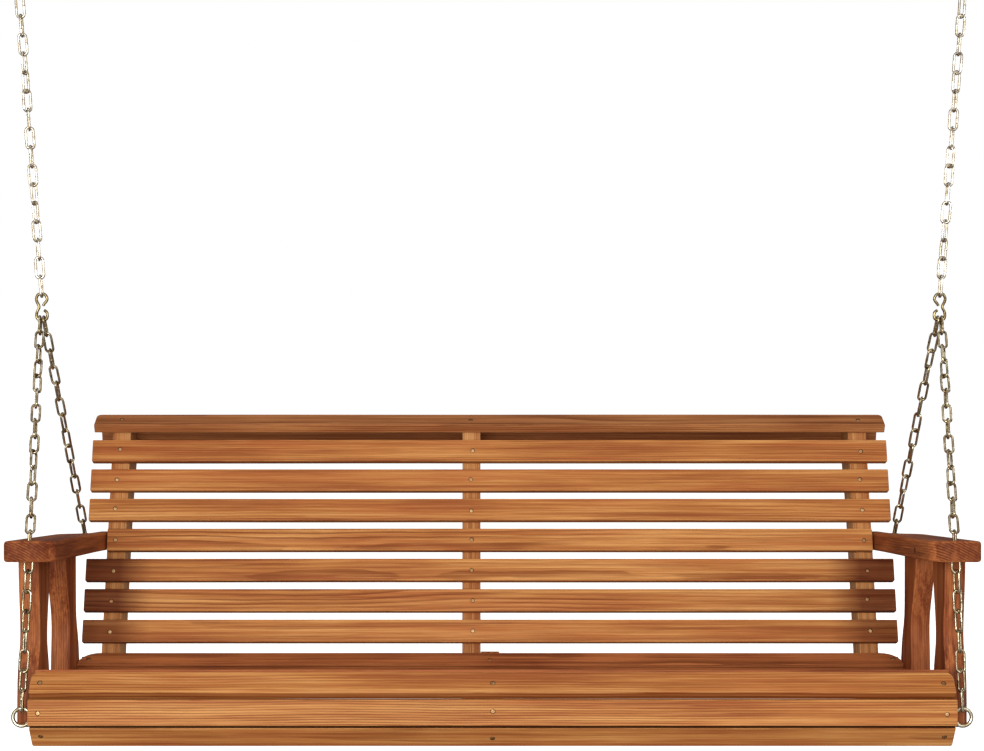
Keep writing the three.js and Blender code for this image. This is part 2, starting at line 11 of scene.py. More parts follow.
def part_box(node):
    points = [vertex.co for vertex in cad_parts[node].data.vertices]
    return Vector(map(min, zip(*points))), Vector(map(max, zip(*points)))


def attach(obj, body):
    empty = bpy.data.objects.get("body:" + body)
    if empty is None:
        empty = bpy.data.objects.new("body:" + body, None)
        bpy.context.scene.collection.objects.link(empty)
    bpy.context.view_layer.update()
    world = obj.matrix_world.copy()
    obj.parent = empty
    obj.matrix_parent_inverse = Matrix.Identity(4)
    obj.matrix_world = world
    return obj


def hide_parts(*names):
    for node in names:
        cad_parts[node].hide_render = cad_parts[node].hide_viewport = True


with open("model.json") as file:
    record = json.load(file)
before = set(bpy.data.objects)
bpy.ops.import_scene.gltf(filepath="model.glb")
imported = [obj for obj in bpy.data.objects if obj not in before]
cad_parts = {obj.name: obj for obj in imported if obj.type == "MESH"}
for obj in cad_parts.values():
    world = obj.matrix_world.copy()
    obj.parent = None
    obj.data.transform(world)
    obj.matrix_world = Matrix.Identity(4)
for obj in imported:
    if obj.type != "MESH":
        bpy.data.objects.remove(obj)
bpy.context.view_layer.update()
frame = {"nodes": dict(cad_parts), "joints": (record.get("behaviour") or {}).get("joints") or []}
scene = bpy.context.scene
MM = 0.001

# ------------------------ bench frame
# The bench's own frame is level with its seat: y runs back from the nose, z up from the underside.
SEAT_LEAN = math.radians(5)  # the hanging bench leans back by this much
HANG_Y, HANG_Z = 334.5 * MM, 797 * MM  # the chain junctions' lower wires, in the bench's frame
HANG_X = 885 * MM
HINGES = {joint["name"]: Vector(joint["pos_m"]) for joint in frame["joints"]}
BENCH = (
    Matrix.Translation(HINGES["bench_tilt"])
    @ Matrix.Rotation(-SEAT_LEAN, 4, "X")
    @ Matrix.Translation((0, -HANG_Y, -HANG_Z))
)
BENCH_TURN = BENCH.to_3x3()
WORLD_X = Vector((1, 0, 0))
WORLD_Y = Vector((0, 1, 0))
WORLD_Z = Vector((0, 0, 1))
SIDES = {"left": -1, "right": 1}


def bench_point(x, y, z):
    """A point of the bench's frame, given in millimetres, in the shared frame."""
    return BENCH @ Vector((x * MM, y * MM, z * MM))


# ------------------------ camera
# It looks along the bench's own depth, and the shift sets how the swing sits in the frame.
EYE = Vector((-0.035, -3.846, -0.681))
LENS, SENSOR = 71.1, 36
SHIFT = (0.0193, 0.1031)
camera_data = bpy.data.cameras.new("camera")
camera_data.lens = LENS
camera_data.sensor_width = SENSOR
camera_data.shift_x, camera_data.shift_y = SHIFT
camera = bpy.data.objects.new("camera", camera_data)
camera.location = EYE
camera.rotation_euler = (math.radians(90) - SEAT_LEAN, 0, 0)
scene.collection.objects.link(camera)
scene.camera = camera


# ------------------------ node helpers
def srgb(red, green, blue):
    """A colour given as 0 to 255 sRGB values, as the linear RGBA that a shader takes."""
    linear = [((c / 255 + 0.055) / 1.055) ** 2.4 if c > 10 else c / 255 / 12.92 for c in (red, green, blue)]
    return (*linear, 1)


def new_material(name):
    """An empty node material, and its Principled shader already joined to the output."""
    material = bpy.data.materials.new(name)
    material.use_nodes = True
    tree = material.node_tree
    tree.nodes.clear()
    shader = tree.nodes.new("ShaderNodeBsdfPrincipled")
    output = tree.nodes.new("ShaderNodeOutputMaterial")
    tree.links.new(shader.outputs["BSDF"], output.inputs["Surface"])
    return material, tree, shader


def plug(tree, socket, value):
    """Links value to the socket if it is another node's output, and sets it if it is a number or colour."""
    if isinstance(value, bpy.types.NodeSocket):
        tree.links.new(value, socket)
    else:
        socket.default_value = value


def maths(tree, operation, first, second=0.0):
    """One arithmetic step; operations on a single value leave second alone."""
    node = tree.nodes.new("ShaderNodeMath")
    node.operation = operation
    plug(tree, node.inputs[0], first)
    plug(tree, node.inputs[1], second)
    return node.outputs[0]


def blend_colour(tree, share, first, second, mode="MIX"):
    """first where share is 0, going over to second, or to first times second with MULTIPLY, where it is 1."""
    node = tree.nodes.new("ShaderNodeMix")
    node.data_type = "RGBA"
    node.blend_type = mode
    plug(tree, node.inputs["Factor"], share)
    plug(tree, node.inputs["A"], first)
    plug(tree, node.inputs["B"], second)
    return node.outputs["Result"]


def ramp(tree, value, low, high, out_low=0.0, out_high=1.0):
    """A smooth step of value from low to high, clamped to the range out_low to out_high."""
    node = tree.nodes.new("ShaderNodeMapRange")
    node.interpolation_type = "SMOOTHSTEP"
    plug(tree, node.inputs["Value"], value)
    for name, number in (("From Min", low), ("From Max", high), ("To Min", out_low), ("To Max", out_high)):
        plug(tree, node.inputs[name], number)
    return node.outputs["Result"]


def scaled(tree, vector, factors):
    """vector with each axis multiplied by its own factor."""
    node = tree.nodes.new("ShaderNodeVectorMath")
    node.operation = "MULTIPLY"
    plug(tree, node.inputs[0], vector)
    node.inputs[1].default_value = factors
    return node.outputs["Vector"]


def noise_of(tree, vector, factors, detail, roughness=0.5):
    """Noise with its own number of features per metre along each axis of vector."""
    node = tree.nodes.new("ShaderNodeTexNoise")
    plug(tree, node.inputs["Vector"], scaled(tree, vector, factors))
    node.inputs["Scale"].default_value = 1.0
    node.inputs["Detail"].default_value = detail
    node.inputs["Roughness"].default_value = roughness
    return node.outputs["Fac"]


def attribute(tree, name, output="Fac"):
    """The mesh attribute of that name, as a number or as another of the node's outputs."""
    node = tree.nodes.new("ShaderNodeAttribute")
    node.attribute_name = name
    return node.outputs[output]


def bump(tree, height, distance, strength):
    """A normal bent by height, which stands for distance metres where it is 1."""
    node = tree.nodes.new("ShaderNodeBump")
    node.inputs["Strength"].default_value = strength
    node.inputs["Distance"].default_value = distance
    plug(tree, node.inputs["Height"], height)
    return node.outputs["Normal"]


# ------------------------ materials
def colour_ramp(tree, value, stops):
    """A colour ramp with the given (position, colour) stops."""
    node = tree.nodes.new("ShaderNodeValToRGB")
    plug(tree, node.inputs["Fac"], value)
    elements = node.color_ramp.elements
    elements[0].position, elements[0].color = stops[0]
    elements[1].position, elements[1].color = stops[-1]
    for position, colour in stops[1:-1]:
        elements.new(position).color = colour
    return node.outputs["Color"]


RING_WIDTH = 4.6 * MM
KNOT_DENSITY = (2.6, 3.4, 3.4)  # knots per metre along the board and across it
WANDER, RIPPLE, KNOT_PUSH = 18 * MM, 1.9 * MM, 9 * MM  # how far each of these moves a ring
PINE_GLOSS = {"Specular IOR Level": 0.09, "Coat Weight": 0.02, "Coat Roughness": 0.35}
PINE_ROUGHNESS = 0.42
KNOT_COLOUR = srgb(62, 28, 12)
# colour of the painted shade in screw holes and in the seams between slats
PAINTED_SHADE_COLOUR = srgb(56, 26, 12)
END_SHADOW_SHARE = (0.33, 0.22, 0.23, 1)  # share of each colour that the painted shadow lets through where it is full


def pine(name, light, mid, dark, rust, patch, drift=0.16):
    """
    Stained pine, cut from a solid block of rings: the mesh's "grain" attribute holds each point's place
    along the board and its two distances from the tree's middle, "tone" the board's own shade, which on two
    seat slats is raised as painted light, "figure" how strongly its rings show, "end" where the cut goes
    across the grain and, on one slat's shadowed long edge, painted shade, "dirt" the painted shade
    inside screw holes and in the seams between slats, "edge" the rounded edges, where the colour coat is thin
    and worn and a painted highlight lies, and "stain" the painted shadow of the arms near the
    ends of some slats. drift is how much the shade changes along a board.
    """
    material, tree, shader = new_material(name)
    grain = attribute(tree, "grain", "Vector")
    tone, figure, end, dirt, edge, stain = (
        attribute(tree, mark) for mark in ("tone", "figure", "end", "dirt", "edge", "stain"))
    split = tree.nodes.new("ShaderNodeSeparateXYZ")
    plug(tree, split.inputs[0], grain)
    across = maths(tree, "MULTIPLY", split.outputs["Y"], split.outputs["Y"])
    through = maths(tree, "MULTIPLY", split.outputs["Z"], split.outputs["Z"])
    radius = maths(tree, "SQRT", maths(tree, "ADD", across, through))

    # knots are rare, and the rings flow round them
    spots = tree.nodes.new("ShaderNodeTexVoronoi")
    plug(tree, spots.inputs["Vector"], scaled(tree, grain, KNOT_DENSITY))
    spots.inputs["Scale"].default_value = 1.0
    knot_near = ramp(tree, spots.outputs["Distance"], 0.10, 0.02)
    knot_core = ramp(tree, spots.outputs["Distance"], 0.030, 0.018)

    # the tree bends along its length, so its rings run out of the board in long tapering figures
    wander = maths(tree, "SUBTRACT", noise_of(tree, grain, (1.2, 5, 5), 2), 0.5)
    ripple = maths(tree, "SUBTRACT", noise_of(tree, grain, (11, 60, 60), 2), 0.5)
    moved = maths(tree, "ADD", radius, maths(tree, "MULTIPLY", wander, WANDER))
    moved = maths(tree, "ADD", moved, maths(tree, "MULTIPLY", ripple, RIPPLE))
    moved = maths(tree, "ADD", moved, maths(tree, "MULTIPLY", knot_near, KNOT_PUSH))
    phase = maths(tree, "FRACT", maths(tree, "DIVIDE", moved, RING_WIDTH))
    latewood = maths(tree, "MULTIPLY", ramp(tree, phase, 0.35, 0.88), ramp(tree, phase, 1.0, 0.93))
    fade = ramp(tree, noise_of(tree, grain, (2.2, 42, 42), 2), 0.34, 0.62, 0.15, 1.0)
    latewood = maths(tree, "MULTIPLY", latewood, fade)

    # stain soaks in unevenly: broad clouds, long streaks, short flecks and single fibres
    streaks = noise_of(tree, grain, (1.5, 110, 110), 4, 0.65)
    clouds = noise_of(tree, grain, (2.0, 22, 22), 2)
    flecks = noise_of(tree, grain, (4.5, 360, 360), 3, 0.6)
    fibres = noise_of(tree, grain, (30, 1100, 1100), 2, 0.6)

    body = maths(tree, "ADD", maths(tree, "MULTIPLY", streaks, 0.68), maths(tree, "MULTIPLY", clouds, 0.32))
    body = maths(tree, "ADD", body, maths(tree, "MULTIPLY", maths(tree, "SUBTRACT", tone, 0.5), 0.12))
    slow = maths(tree, "SUBTRACT", noise_of(tree, grain, (5, 12, 12), 1), 0.5)
    body = maths(tree, "ADD", body, maths(tree, "MULTIPLY", slow, drift))
    colour = colour_ramp(tree, body, [(0.38, rust), (0.49, mid), (0.60, light)])
    patchy = noise_of(tree, grain, (2.6, 34, 34), 2)
    colour = blend_colour(tree, ramp(tree, patchy, 0.48, 0.66, 0.0, 0.45), colour, patch)
    shown = maths(tree, "MULTIPLY", latewood, ramp(tree, figure, 0.0, 1.0, 0.25, 0.85))
    colour = blend_colour(tree, shown, colour, dark)
    colour = blend_colour(tree, ramp(tree, flecks, 0.50, 0.70, 0.0, 0.42), colour, dark)
    colour = blend_colour(tree, ramp(tree, flecks, 0.46, 0.30, 0.0, 0.42), colour, light)
    colour = blend_colour(tree, ramp(tree, fibres, 0.4, 0.75, 0.0, 0.22), colour, dark)
    colour = blend_colour(tree, maths(tree, "MULTIPLY", knot_core, 0.85), colour, KNOT_COLOUR)
    # rounded edges lightened where the stain is worn, and as a painted highlight along them
    wear_and_highlight = maths(tree, "MULTIPLY", edge, ramp(tree, noise_of(tree, grain, (14, 60, 60), 3), 0.40, 0.66))
    colour = blend_colour(tree, maths(tree, "MULTIPLY", wear_and_highlight, 0.4), colour, light)
    # end grain darkened where it drinks in stain, and one slat's shadowed long edge darkened as painted shade
    soak_and_shade = maths(tree, "MULTIPLY", end, ramp(tree, latewood, 0.0, 0.8, 0.45, 0.9))
    colour = blend_colour(tree, soak_and_shade, colour, dark)
    # painted shadow of the arms near the ends of some slats
    colour = blend_colour(tree, stain, colour, END_SHADOW_SHARE, "MULTIPLY")
    # painted shade inside screw holes and in the seams between slats
    colour = blend_colour(tree, maths(tree, "MULTIPLY", dirt, 0.85), colour, PAINTED_SHADE_COLOUR)
    plug(tree, shader.inputs["Base Color"], colour)

    dull = maths(tree, "MULTIPLY", ramp(tree, streaks, 0.3, 0.7), 0.12)
    dull = maths(tree, "ADD", dull, maths(tree, "MULTIPLY", wear_and_highlight, 0.12))
    dull = maths(tree, "ADD", dull, maths(tree, "MULTIPLY", end, 0.2))
    plug(tree, shader.inputs["Roughness"], maths(tree, "ADD", dull, PINE_ROUGHNESS))
    height = maths(tree, "ADD", maths(tree, "MULTIPLY", latewood, 0.6), maths(tree, "MULTIPLY", fibres, 0.5))
    height = maths(tree, "SUBTRACT", height, maths(tree, "MULTIPLY", knot_core, 0.5))
    plug(tree, shader.inputs["Normal"], bump(tree, height, 0.35 * MM, 0.5))
    for socket, value in PINE_GLOSS.items():
        shader.inputs[socket].default_value = value
    return material


def metal(name, bright, dull, grime, roughness):
    """
    Plated steel: patches of bright and dull plating, grime in spots, and fine drawing marks. roughness is
    that of the bright patches.
    """
    material, tree, shader = new_material(name)
    place = tree.nodes.new("ShaderNodeTexCoord").outputs["Object"]
    patches = noise_of(tree, place, (60, 60, 60), 3)
    spots = noise_of(tree, place, (230, 230, 230), 2)
    marks = noise_of(tree, place, (900, 900, 900), 2)
    colour = blend_colour(tree, ramp(tree, patches, 0.35, 0.65), bright, dull)
    colour = blend_colour(tree, ramp(tree, spots, 0.55, 0.8, 0.0, 0.7), colour, grime)
    plug(tree, shader.inputs["Base Color"], colour)
    shader.inputs["Metallic"].default_value = 1.0
    plating = ramp(tree, patches, 0.3, 0.7, roughness, roughness + 0.16)
    plug(tree, shader.inputs["Roughness"], maths(tree, "ADD", plating, maths(tree, "MULTIPLY", spots, 0.12)))
    height = maths(tree, "ADD", maths(tree, "MULTIPLY", marks, 0.4), spots)
    plug(tree, shader.inputs["Normal"], bump(tree, height, 0.12 * MM, 0.4))
    return material


# A pine's colours: its light, middle and dark wood, the rusty streaks and the patches; then the drift.
ORANGE_PINE = pine(
    "orange_brown_pine", srgb(215, 153, 90), srgb(189, 122, 64), srgb(120, 58, 23), srgb(159, 90, 47),
    srgb(178, 98, 52))
BROWN_PINE = pine(
    "brown_pine", srgb(194, 130, 78), srgb(168, 104, 60), srgb(104, 52, 24), srgb(138, 80, 44),
    srgb(156, 92, 54))
RED_PINE = pine(
    "red_brown_pine", srgb(190, 112, 64), srgb(152, 82, 47), srgb(90, 40, 19), srgb(118, 56, 31),
    srgb(184, 108, 60), 0.5)
TAN_PINE = pine(
    "tan_pine", srgb(216, 158, 100), srgb(192, 130, 76), srgb(138, 78, 38), srgb(162, 96, 53),
    srgb(208, 144, 88))
# A metal's colours: bright and dull plating, and grime; then the bright plating's roughness.
YELLOW_ZINC = metal("yellow_zinc_steel", srgb(206, 192, 160), srgb(150, 130, 98), srgb(56, 42, 28), 0.12)
DARK_ZINC = metal("dark_zinc_steel", srgb(158, 144, 104), srgb(104, 88, 58), srgb(46, 34, 22), 0.14)
PALE_ZINC = metal("pale_zinc_steel", srgb(228, 220, 204), srgb(190, 174, 148), srgb(92, 72, 52), 0.14)
BRIGHT_ZINC = metal("bright_zinc_steel", srgb(214, 204, 178), srgb(170, 152, 120), srgb(80, 60, 40), 0.18)
SCREW_ZINC = metal("screw_zinc_steel", srgb(208, 170, 122), srgb(168, 124, 82), srgb(104, 66, 38), 0.34)


# ------------------------ mesh helpers
def mesh_object(name, bm):
    """A new object with the bmesh's shape, which uses the bmesh up."""
    mesh = bpy.data.meshes.new(name)
    bm.to_mesh(mesh)
    bm.free()
    made = bpy.data.objects.new(name, mesh)
    scene.collection.objects.link(made)
    return made


SMOOTH_BELOW = math.radians(34)  # edges that turn by more stay sharp


def smooth(made):
    """Smooth shading that keeps the sharp edges and leaves large faces flat."""
    made.data.polygons.foreach_set("use_smooth", [True] * len(made.data.polygons))
    made.data.set_sharp_from_angle(angle=SMOOTH_BELOW)
    weighted = made.modifiers.new("weighted_normals", "WEIGHTED_NORMAL")
    weighted.keep_sharp = True


def finish_piece(made, material, body, nodes=()):
    """Gives a piece its look, the body it rides on and the CAD nodes it stands for."""
    made.data.materials.clear()
    made.data.materials.append(material)
    smooth(made)
    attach(made, body)
    if nodes:
        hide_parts(*nodes)


def show(node, bm, material, body):
    """The visible piece that stands for one CAD node, with the bmesh's shape."""
    finish_piece(mesh_object(node + "_shown", bm), material, body, [node])


def cut(made, cutters):
    """Takes the cutters, a bmesh of closed solids, out of made for good."""
    tool = mesh_object(made.name + "_cutter", cutters)
    modifier = made.modifiers.new("cut", "BOOLEAN")
    modifier.object = tool
    modifier.solver = "EXACT"
    graph = bpy.context.evaluated_depsgraph_get()
    result = bpy.data.meshes.new_from_object(made.evaluated_get(graph))
    made.modifiers.clear()
    made.data = result
    bpy.data.objects.remove(tool)


def drill(cutters, matrix, radius, depth, segments=24):
    """Adds a round cutter for a hole, its middle at the matrix's origin and its axis along the matrix's z."""
    bmesh.ops.create_cone(
        cutters, cap_ends=True, segments=segments, radius1=radius, radius2=radius, depth=depth, matrix=matrix)


def skin(bm, rings, closed=False):
    """Quads between rings of vertices, each ring a closed loop; closed joins the last ring to the first."""
    pairs = list(zip(rings, rings[1:]))
    if closed:
        pairs.append((rings[-1], rings[0]))
    for low, high in pairs:
        for i in range(len(low)):
            j = (i + 1) % len(low)
            bm.faces.new((low[i], low[j], high[j], high[i]))


def cap(bm, rings):
    """Closes a skin over rings at its two ends."""
    bm.faces.new(rings[0][::-1])
    bm.faces.new(rings[-1])


def tube(bm, points, normal, radii, sides, closed=False):
    """
    A round tube along points that lie in one plane with the given normal. An open tube has round ends.
    radii holds one radius for each point.
    """
    stations = [(Vector(p), r) for p, r in zip(points, radii)]
    if not closed:
        start = round_end(stations[1], stations[0])[::-1]
        stations = start + stations[1:-1] + round_end(stations[-2], stations[-1])
    rings = []
    count = len(stations)
    for i, (point, radius) in enumerate(stations):
        before = stations[i - 1][0] if closed or i else point
        after = stations[(i + 1) % count][0] if closed or i < count - 1 else point
        tangent = (after - before).normalized()
        side = tangent.cross(normal).normalized()
        turns = [2 * math.pi * s / sides for s in range(sides)]
        spokes = [math.cos(a) * side + math.sin(a) * normal for a in turns]
        rings.append([bm.verts.new(point + radius * spoke) for spoke in spokes])
    skin(bm, rings, closed)
    if not closed:
        cap(bm, rings)


def round_end(inner, last):
    """The stations that end a tube at the station last, coming from inner, with rounded corners."""
    point, radius = last
    back = (inner[0] - point).normalized()
    corner = 0.45 * radius
    steps = [math.pi / 2 * k / 3 for k in range(4)]
    return [(point + back * corner * (1 - math.sin(a)), radius - corner * (1 - math.cos(a))) for a in steps]


def turned(bm, place, profile, sides=24, flats=0):
    """
    The skin of a solid turned about local Z: profile holds (radius, height) pairs from bottom to top, and
    place takes it to the shared frame. With flats = 6 what stands out beyond a hexagon's flats is cut back to
    them, the hexagon's corners lying at the profile's largest radius.
    """
    across = max(r for r, _ in profile) * math.cos(math.pi / 6)  # half the distance over the flats
    rings = []
    for radius, height in profile:
        ring = []
        for s in range(sides):
            a = 2 * math.pi * s / sides
            r = radius
            if flats:
                turn = (a + math.pi / flats) % (2 * math.pi / flats) - math.pi / flats
                r = min(radius, across / math.cos(turn))
            ring.append(bm.verts.new(place @ Vector((r * math.cos(a), r * math.sin(a), height))))
        rings.append(ring)
    skin(bm, rings)
    return rings


# ------------------------ boards
BEVEL = 1.6 * MM
SHARP_ABOVE = math.radians(36)  # edges that turn by more are bevelled
PITH_NEAR, PITH_FAR = 25 * MM, 190 * MM  # range of the distance from a board to the tree's middle

# Boards whose shade (0 dark to 1 light) isn't left to chance.
SHADES = {
    "front_slat_top": 0.4, "front_slat_middle": 0.72, "front_slat_bottom": 0.45,
    "back_slat_1": 0.15, "back_slat_2": 0.35, "back_slat_3": 0.4, "back_slat_4": 0.7,
    "back_slat_5": 0.45, "back_slat_6": 0.65, "back_slat_7": 0.3, "crest_slat_front": 0.65,
    # the sixth and seventh seat slats are set light as painted light, making up for the shade they lie in
    "seat_slat_1": 0.9, "seat_slat_6": 1.0, "seat_slat_7": 1.0, "arm_left": 0.15, "arm_right": 0.25,
    "front_post_left": 0.55, "front_post_right": 0.45, "rear_post_left": 0.5, "rear_post_right": 0.4,
    "back_support_left": 0.4, "back_support_centre": 0.35, "back_support_right": 0.4,
}
# How strongly a board's rings show, and the tree's middle as seen from the board: its direction in degrees
# from the board's width (0 gives straight lines, 90 pointed arches) and its distance.
FIGURES = {
    "front_slat_middle": (1.0, 4, 190 * MM),
    "front_slat_top": (0.5, 25, 120 * MM),
    "front_slat_bottom": (0.3, 60, 60 * MM),
    "back_slat_1": (0.5, 12, 160 * MM),
    "back_slat_2": (0.2, 30, 90 * MM),
    "back_slat_4": (0.9, 84, 38 * MM),
    "back_slat_5": (0.6, 78, 52 * MM),
    "front_post_left": (0.3, 76, 150 * MM),
    "front_post_right": (0.4, 82, 140 * MM),
    "rear_post_left": (0.35, 80, 160 * MM),
    "rear_post_right": (0.3, 74, 150 * MM),
}
# Which long edge of a slat, 1 the far and -1 the near one, is painted with shade: first where it lies in a
# seam, then where it is a shadowed edge.
SHADED_SEAMS = {"front_slat_bottom": 1, "front_slat_middle": -1}
SHADED_EDGES = {"front_slat_top": -1}
# Slats painted with the shadow that the arms cast near their ends: fully up to one distance from the end, and
# no more beyond the other.
PAINTED_END_SHADOW = {"back_slat_5": 1.0, "back_slat_6": 1.0, "back_slat_7": 0.75}
END_SHADOW_FULL, END_SHADOW_NONE = 68 * MM, 150 * MM
SCREW_HOLE, SCREW_DEPTH = 4.6 * MM, 3.0 * MM  # radius and depth


def eased(value, low, high):
    """A smooth step from 0 at low to 1 at high."""
    t = min(max((value - low) / (high - low), 0), 1)
    return t * t * (3 - 2 * t)


def in_hole(point, hole):
    """Whether a point of a board's surface lies inside the screw hole with the given frame."""
    local = hole.inverted() @ point
    return local.z < -0.1 * SCREW_DEPTH and local.to_2d().length < 1.1 * SCREW_HOLE


def mark_board(made, place, size, holes):
    """
    Writes the attributes that pine() reads. place is the board's own frame, x along its grain and z through
    its thickness, size its (length, width, thickness), and holes its screw holes' frames.
    """
    node = made.name.removesuffix("_shown")
    mesh = made.data
    draw = random.Random(made.name)
    shade = SHADES.get(node, draw.random())
    chance = (draw.random(), draw.uniform(0, 90), draw.uniform(PITH_NEAR, PITH_FAR))
    figure, spin, reach = FIGURES.get(node, chance)
    spin = math.radians(spin)
    pith = Vector((0, reach * math.cos(spin), -abs(reach * math.sin(spin)) - size[2]))
    shift = Vector((draw.uniform(-50, 50), 0, 0))
    back = place.inverted()
    local = [back @ v.co for v in mesh.vertices]
    grain = mesh.attributes.new("grain", "FLOAT_VECTOR", "POINT")
    grain.data.foreach_set("vector", [c for p in local for c in (p - pith + shift)])
    for name, value in (("tone", shade), ("figure", figure)):
        same = [value] * len(mesh.vertices)
        mesh.attributes.new(name, "FLOAT", "POINT").data.foreach_set("value", same)
    # painted shadow of the arms, strongest at a slat's ends
    dark = PAINTED_END_SHADOW.get(node, 0)
    end_shadow = [dark * (1 - eased(size[0] / 2 - abs(p.x), END_SHADOW_FULL, END_SHADOW_NONE)) for p in local]
    mesh.attributes.new("stain", "FLOAT", "POINT").data.foreach_set("value", end_shadow)
    turn = back.to_3x3()
    shaded_seam = SHADED_SEAMS.get(node, 0)
    soak_and_shade = SHADED_EDGES.get(node, 0)
    marks = {"end": [], "edge": [], "dirt": []}
    for polygon in mesh.polygons:
        facing = turn @ polygon.normal
        # faces inside screw holes and in the seams between slats get painted shade
        in_painted_shade = facing.y * shaded_seam > 0.9 or any(in_hole(polygon.center, hole) for hole in holes)
        # end grain, and the painted shade of one slat's shadowed long edge
        end_grain_and_shade = 1.0 if abs(facing.x) > 0.75 else 0.8 if facing.y * soak_and_shade > 0.6 else 0.0
        marks["end"].append(0.0 if in_painted_shade else end_grain_and_shade)
        marks["edge"].append(1.0 if 0.12 < abs(facing.z) < 0.97 and not in_painted_shade else 0.0)
        marks["dirt"].append(1.0 if in_painted_shade else 0.0)
    for name, values in marks.items():
        mesh.attributes.new(name, "FLOAT", "FACE").data.foreach_set("value", values)


def bevel_sharp(bm, width, clamp=True):
    """Rounds the sharp edges; clamp narrows the rounding where two would run into each other."""
    sharp = [e for e in bm.edges if len(e.link_faces) == 2 and e.calc_face_angle() > SHARP_ABOVE]
    bmesh.ops.bevel(
        bm, geom=sharp, offset=width, segments=3, profile=0.5, affect="EDGES", clamp_overlap=clamp)


# Each slat's width direction in degrees from the bench's depth direction, and its far and near corner radii
# in millimetres.
SLATS = {
    "front_slat_bottom": (129, 2, 4),
    "front_slat_middle": (90, 2, 2),
    "front_slat_top": (48, 15, 2),
    "crest_slat_front": (30, 10, 2),
    "crest_slat_top": (-2, 2, 2),
    "crest_slat_rear": (-74, 2, 2),
}
SEAT_ANGLES = (-14, -17, -12, -5, 4, 14, 26)
LAST_SEAT_CORNER = 40
BACK_ANGLE = 90 - 15.9
BACK_SLATS = 7
for number, angle in enumerate(SEAT_ANGLES, 1):
    SLATS[f"seat_slat_{number}"] = (angle, LAST_SEAT_CORNER if number == len(SEAT_ANGLES) else 2, 2)
for number in range(1, BACK_SLATS + 1):
    SLATS[f"back_slat_{number}"] = (BACK_ANGLE, 2, 2)

SUPPORT_X = 819 * MM  # middle of a side seat support, and of its screws
BACK_SUPPORT_X = 780.7 * MM
BACK_CENTRE_X = -38.3 * MM
BACK_SCREWS = (-BACK_SUPPORT_X, BACK_CENTRE_X, BACK_SUPPORT_X)
SEAT_SCREWS = (-SUPPORT_X, 0, SUPPORT_X)
SCREW_STRAY = 3 * MM  # how far a screw may sit from its place
SLAT_STATIONS = 24  # spans along a slat, so that it can bend
screw_places = {}  # family of slats: the screws' frames, z out of the wood
SLAT_LOOKS = {
    "front_slat": (ORANGE_PINE, "pine_orange_brown"),
    "back_slat": (ORANGE_PINE, "pine_orange_brown"),
    "seat_slat": (RED_PINE, "pine_red_brown"),
    "crest_slat": (BROWN_PINE, "pine_red_brown"),
}


def corner_arc(centre, radius, start, steps):
    """A quarter circle from the direction start, anticlockwise."""
    return [
        centre + radius * Vector((math.cos(a), math.sin(a), 0))
        for a in (start + math.pi / 2 * k / steps for k in range(steps + 1))
    ]


def slat_outline(half, width, near, far):
    """A rectangle from -half to half and from 0 to width, with corner radii in millimetres."""
    points = []
    quarter = math.pi / 2
    for sx, sy, start in ((1, 0, -quarter), (1, 1, 0), (-1, 1, quarter), (-1, 0, 2 * quarter)):
        radius = (far if sy else near) * MM
        centre = Vector((sx * (half - radius), width - radius if sy else radius, 0))
        points += corner_arc(centre, radius, start, 8 if radius > 5 * MM else 3)
    return points


def plate(outline, thickness):
    """A slab under the given outline, which lies in the XY plane."""
    bm = bmesh.new()
    face = bm.faces.new([bm.verts.new(p) for p in outline])
    sides = bmesh.ops.extrude_face_region(bm, geom=[face])["geom"]
    lower = [g for g in sides if isinstance(g, bmesh.types.BMVert)]
    bmesh.ops.translate(bm, verts=lower, vec=(0, 0, -thickness))
    bmesh.ops.recalc_face_normals(bm, faces=bm.faces)
    return bm


BOW_WIDE, BOW_THICK = 0.5 * MM, 0.3 * MM


def bow(bm, draw):
    """Bends a slat very slightly along its length, as sawn boards are."""
    seed = draw.uniform(0, 100)
    for v in bm.verts:
        v.co.y += BOW_WIDE * noise.noise(Vector((v.co.x * 2.2, seed, 0)))
        v.co.z += BOW_THICK * noise.noise(Vector((v.co.x * 2.6, 0, seed)))


